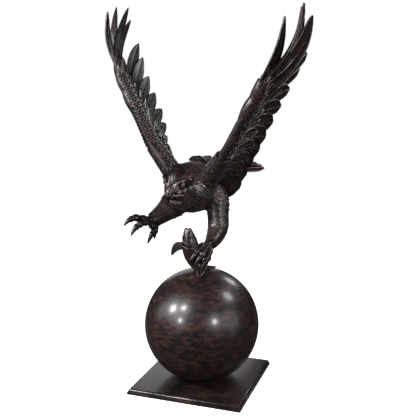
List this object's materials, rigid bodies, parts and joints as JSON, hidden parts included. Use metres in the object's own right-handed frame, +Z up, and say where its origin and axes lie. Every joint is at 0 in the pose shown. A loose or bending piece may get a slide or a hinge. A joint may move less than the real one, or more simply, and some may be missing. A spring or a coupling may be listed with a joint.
{
  "type": "eagle statue",
  "caption": "Cast aluminium statue of an eagle landing with raised wings, one foot gripping a fish on a large ball, on a square plinth, in a dark brown bronze patina.",
  "frame": {"origin": "middle of the plinth's underside", "axes": "+Z up, -Y towards the plinth's front edge, +X towards the eagle's left side; the eagle flies towards -Y, turned 14.7 degrees towards -X"},
  "size_m": [0.8866, 0.7286, 1.5127],
  "materials": {
    "plinth_patina": "dark brown patina, satin gloss",
    "ball_streaked_patina": "dark brown patina with reddish brushed streaks, satin gloss",
    "eagle_bronze_patina": "dark brown patina rubbed to reddish bronze on the raised edges"
  },
  "bodies": {
    "root": {"plinth": "plinth_patina", "ball": "ball_streaked_patina", "eagle_with_fish": "eagle_bronze_patina"}
  },
  "joints": []
}
